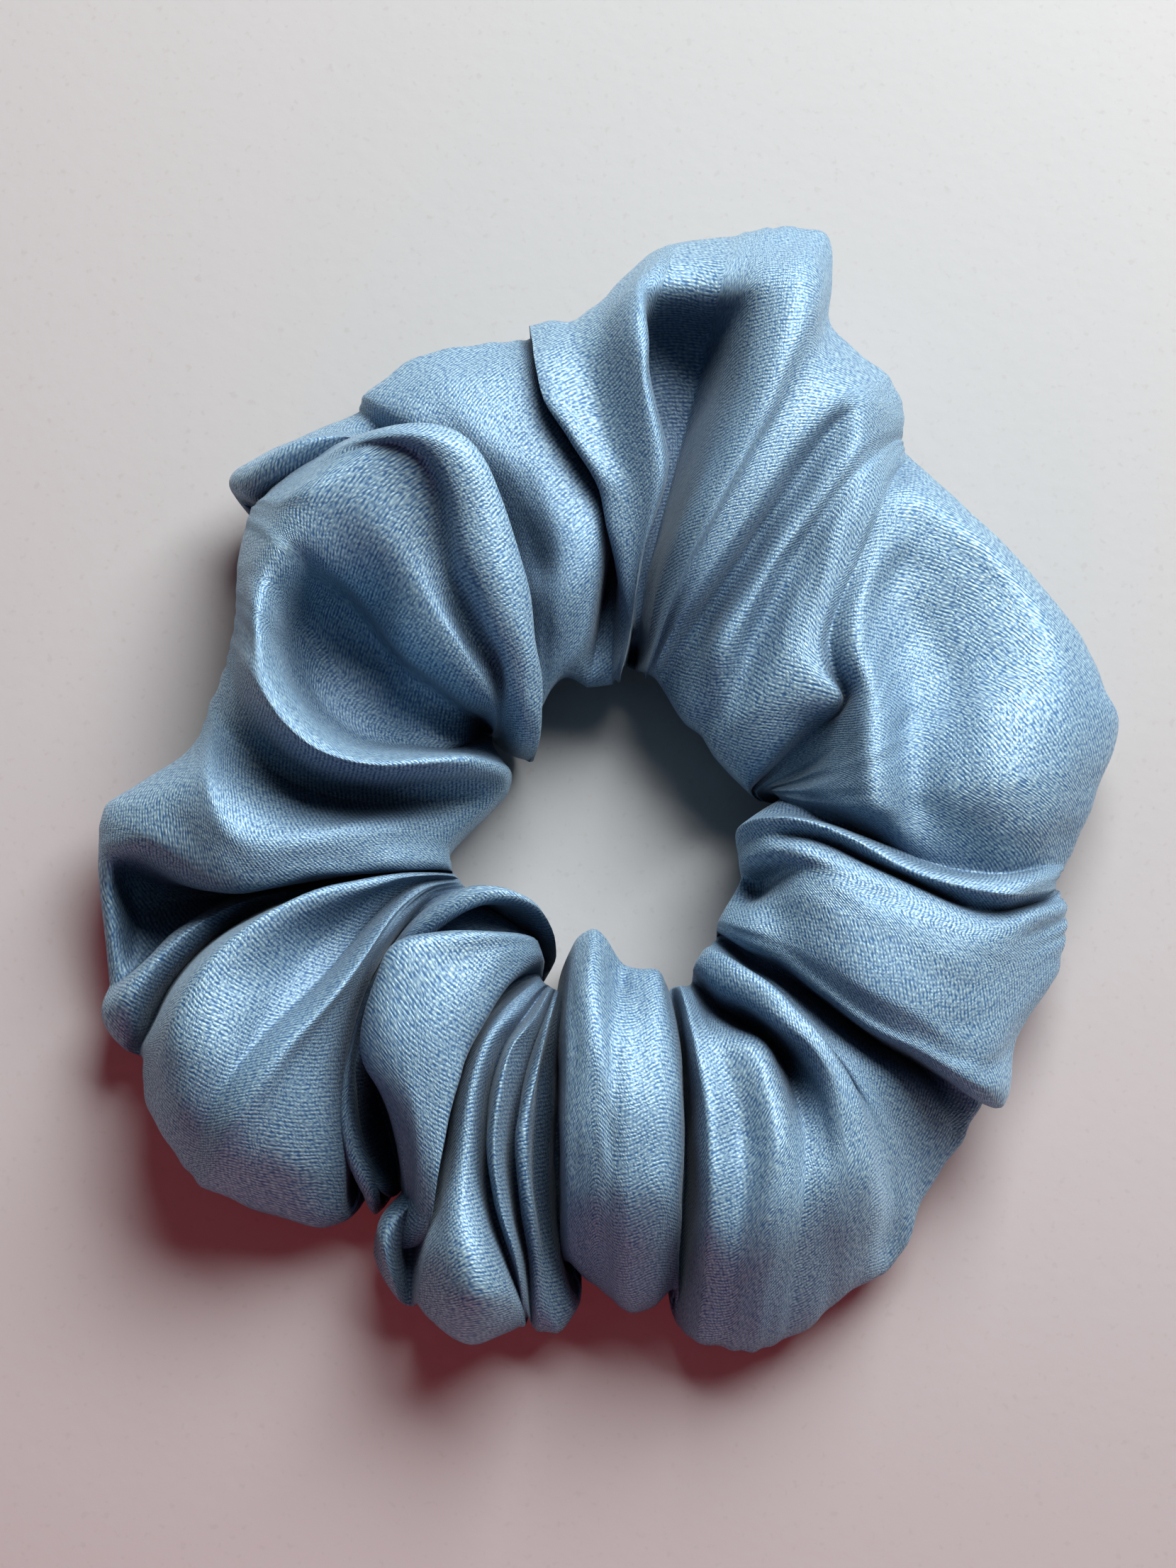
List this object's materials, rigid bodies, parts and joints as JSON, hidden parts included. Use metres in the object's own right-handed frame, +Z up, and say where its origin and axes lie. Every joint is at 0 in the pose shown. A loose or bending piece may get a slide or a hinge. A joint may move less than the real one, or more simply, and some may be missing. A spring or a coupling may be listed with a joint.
{
  "type": "scrunchie",
  "caption": "Gathered satin hair scrunchie: a wide sleeve of cloth puckered into soft folds on a hidden elastic band, which stretches open round a ponytail.",
  "frame": {"origin": "middle of the ring's footprint, on the table that it lies on", "axes": "+Z up, out of the table; the hole runs along Z; +Y towards the ring's longest reach; the closing seam lies 30 degrees from +X towards +Y"},
  "size_m": [0.115, 0.126, 0.0298],
  "materials": {
    "satin": "light steel-blue polyester satin, glossy side out, fine diagonal twill lines",
    "elastic": "off-white braided elastic, matt",
    "thread": "spun polyester sewing thread, a shade darker than the satin"
  },
  "bodies": {
    "gore_01": {"sleeve_gore_01": "satin", "elastic_band_01": "elastic", "seam_thread_01": "thread"},
    "gore_02a": {"sleeve_gore_02a": "satin", "elastic_band_02a": "elastic", "seam_thread_02a": "thread", "closing_seam_thread": "thread"},
    "gore_02b": {"sleeve_gore_02b": "satin", "elastic_band_02b": "elastic", "seam_thread_02b": "thread"},
    "gore_03": {"sleeve_gore_03": "satin", "elastic_band_03": "elastic", "seam_thread_03": "thread"},
    "gore_04": {"sleeve_gore_04": "satin", "elastic_band_04": "elastic", "seam_thread_04": "thread"},
    "gore_05": {"sleeve_gore_05": "satin", "elastic_band_05": "elastic", "seam_thread_05": "thread"},
    "gore_06": {"sleeve_gore_06": "satin", "elastic_band_06": "elastic", "seam_thread_06": "thread"},
    "gore_07": {"sleeve_gore_07": "satin", "elastic_band_07": "elastic", "seam_thread_07": "thread"},
    "gore_08": {"sleeve_gore_08": "satin", "elastic_band_08": "elastic", "seam_thread_08": "thread", "band_lap_stitches": "thread"},
    "gore_09": {"sleeve_gore_09": "satin", "elastic_band_09": "elastic", "seam_thread_09": "thread"},
    "gore_10": {"sleeve_gore_10": "satin", "elastic_band_10": "elastic", "seam_thread_10": "thread"},
    "gore_11": {"sleeve_gore_11": "satin", "elastic_band_11": "elastic", "seam_thread_11": "thread"},
    "gore_12": {"sleeve_gore_12": "satin", "elastic_band_12": "elastic", "seam_thread_12": "thread"}
  },
  "joints": [
    {"name": "stretch_08_09", "type": "slide", "parent": "gore_08", "child": "gore_09", "axis": [-0.2588, 0.9659, 0], "range_m": [0, 0.01242], "stiffness_N_per_m": 120},
    {"name": "stretch_09_10", "type": "slide", "parent": "gore_09", "child": "gore_10", "axis": [0.2588, 0.9659, 0], "range_m": [0, 0.01242], "stiffness_N_per_m": 120},
    {"name": "stretch_10_11", "type": "slide", "parent": "gore_10", "child": "gore_11", "axis": [0.7071, 0.7071, 0], "range_m": [0, 0.01242], "stiffness_N_per_m": 120},
    {"name": "stretch_11_12", "type": "slide", "parent": "gore_11", "child": "gore_12", "axis": [0.9659, 0.2588, 0], "range_m": [0, 0.01242], "stiffness_N_per_m": 120},
    {"name": "stretch_12_01", "type": "slide", "parent": "gore_12", "child": "gore_01", "axis": [0.9659, -0.2588, 0], "range_m": [0, 0.01242], "stiffness_N_per_m": 120},
    {"name": "stretch_01_02a", "type": "slide", "parent": "gore_01", "child": "gore_02a", "axis": [0.7071, -0.7071, 0], "range_m": [0, 0.01242], "stiffness_N_per_m": 120},
    {"name": "stretch_08_07", "type": "slide", "parent": "gore_08", "child": "gore_07", "axis": [0.7071, -0.7071, 0], "range_m": [0, 0.01242], "stiffness_N_per_m": 120},
    {"name": "stretch_07_06", "type": "slide", "parent": "gore_07", "child": "gore_06", "axis": [0.9659, -0.2588, 0], "range_m": [0, 0.01242], "stiffness_N_per_m": 120},
    {"name": "stretch_06_05", "type": "slide", "parent": "gore_06", "child": "gore_05", "axis": [0.9659, 0.2588, 0], "range_m": [0, 0.01242], "stiffness_N_per_m": 120},
    {"name": "stretch_05_04", "type": "slide", "parent": "gore_05", "child": "gore_04", "axis": [0.7071, 0.7071, 0], "range_m": [0, 0.01242], "stiffness_N_per_m": 120},
    {"name": "stretch_04_03", "type": "slide", "parent": "gore_04", "child": "gore_03", "axis": [0.2588, 0.9659, 0], "range_m": [0, 0.01242], "stiffness_N_per_m": 120},
    {"name": "stretch_03_02b", "type": "slide", "parent": "gore_03", "child": "gore_02b", "axis": [-0.2588, 0.9659, 0], "range_m": [0, 0.01242], "stiffness_N_per_m": 120}
  ],
  "couplings": [
    {"joint": "stretch_09_10", "follows": "stretch_08_09", "ratio": 1},
    {"joint": "stretch_10_11", "follows": "stretch_08_09", "ratio": 1},
    {"joint": "stretch_11_12", "follows": "stretch_08_09", "ratio": 1},
    {"joint": "stretch_12_01", "follows": "stretch_08_09", "ratio": 1},
    {"joint": "stretch_01_02a", "follows": "stretch_08_09", "ratio": 1},
    {"joint": "stretch_08_07", "follows": "stretch_08_09", "ratio": 1},
    {"joint": "stretch_07_06", "follows": "stretch_08_09", "ratio": 1},
    {"joint": "stretch_06_05", "follows": "stretch_08_09", "ratio": 1},
    {"joint": "stretch_05_04", "follows": "stretch_08_09", "ratio": 1},
    {"joint": "stretch_04_03", "follows": "stretch_08_09", "ratio": 1},
    {"joint": "stretch_03_02b", "follows": "stretch_08_09", "ratio": 1}
  ]
}
